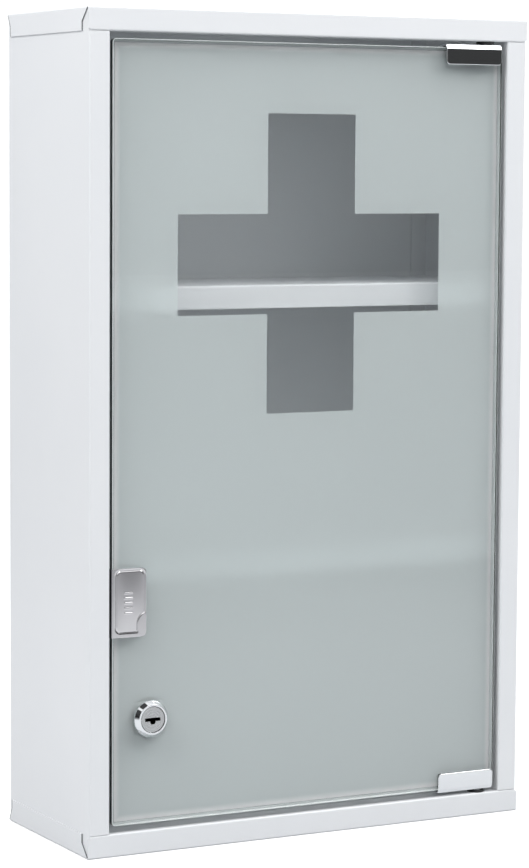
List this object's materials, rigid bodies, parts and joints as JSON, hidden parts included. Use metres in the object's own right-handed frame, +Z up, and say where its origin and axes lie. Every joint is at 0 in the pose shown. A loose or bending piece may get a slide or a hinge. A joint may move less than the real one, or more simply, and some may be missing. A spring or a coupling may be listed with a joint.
{
  "type": "lockable medicine cabinet",
  "caption": "Wall cabinet in folded white sheet steel with shelves, a frosted glass door with a clear cross window, pivot clamps, a magnetic push latch and a cam lock",
  "frame": {"origin": "centre of the underside of the lower tray", "axes": "+Z up the cabinet's height, +X to the right as one faces the door, +Y towards the wall, so the door faces -Y"},
  "size_m": [0.3, 0.122, 0.5],
  "materials": {
    "white_paint": "white powder coat, satin",
    "frosted_glass": "toughened glass, frosted round a clear cross",
    "bright_chrome": "polished chrome plate",
    "satin_chrome": "satin chrome plate",
    "plain_steel": "zinc plated",
    "black_plastic": "moulded, matt",
    "grey_plastic": "moulded, matt",
    "ferrite": "ground ferrite"
  },
  "bodies": {
    "cabinet": {"left_side": "white_paint", "right_side": "white_paint", "back_panel": "white_paint", "top_tray": "white_paint", "bottom_tray": "white_paint", "upper_shelf": "white_paint", "lower_shelf": "white_paint", "ledge_upper_left": "white_paint", "ledge_upper_right": "white_paint", "ledge_lower_left": "white_paint", "ledge_lower_right": "white_paint", "bush_top": "black_plastic", "bush_bottom": "black_plastic", "latch_bracket": "white_paint", "latch_housing": "grey_plastic", "latch_spring": "plain_steel", "latch_screws": "plain_steel"},
    "door": {"door_glass": "frosted_glass", "clamp_top": "bright_chrome", "clamp_bottom": "bright_chrome", "clamp_liner_top": "black_plastic", "clamp_liner_bottom": "black_plastic", "clamp_screws_top": "plain_steel", "clamp_screws_bottom": "plain_steel", "pivot_pin_top": "plain_steel", "pivot_pin_bottom": "plain_steel", "strike_clip": "bright_chrome", "strike_liner": "black_plastic", "lock_body": "bright_chrome", "lock_gasket": "black_plastic", "lock_washer": "black_plastic", "lock_nut": "plain_steel"},
    "lock_core": {"lock_plug": "satin_chrome", "lock_cam": "plain_steel", "cam_screw": "plain_steel"},
    "plunger": {"latch_plunger": "grey_plastic", "latch_magnet": "ferrite"}
  },
  "joints": [
    {"name": "door_hinge", "type": "hinge", "parent": "cabinet", "child": "door", "pos_m": [0.123, -0.054, 0.25], "axis": [0, 0, 1], "range_deg": [0, 120]},
    {"name": "lock_turn", "type": "hinge", "parent": "door", "child": "lock_core", "pos_m": [-0.1085, -0.0443, 0.081], "axis": [0, 1, 0], "range_deg": [0, 90]},
    {"name": "plunger_slide", "type": "slide", "parent": "cabinet", "child": "plunger", "axis": [0, -1, 0], "range_m": [0, 0.0085], "deforming": ["latch_spring"]}
  ],
  "couplings": [
    {"joint": "plunger_slide", "follows": "door_hinge", "m_per_rad": 0.00382}
  ]
}
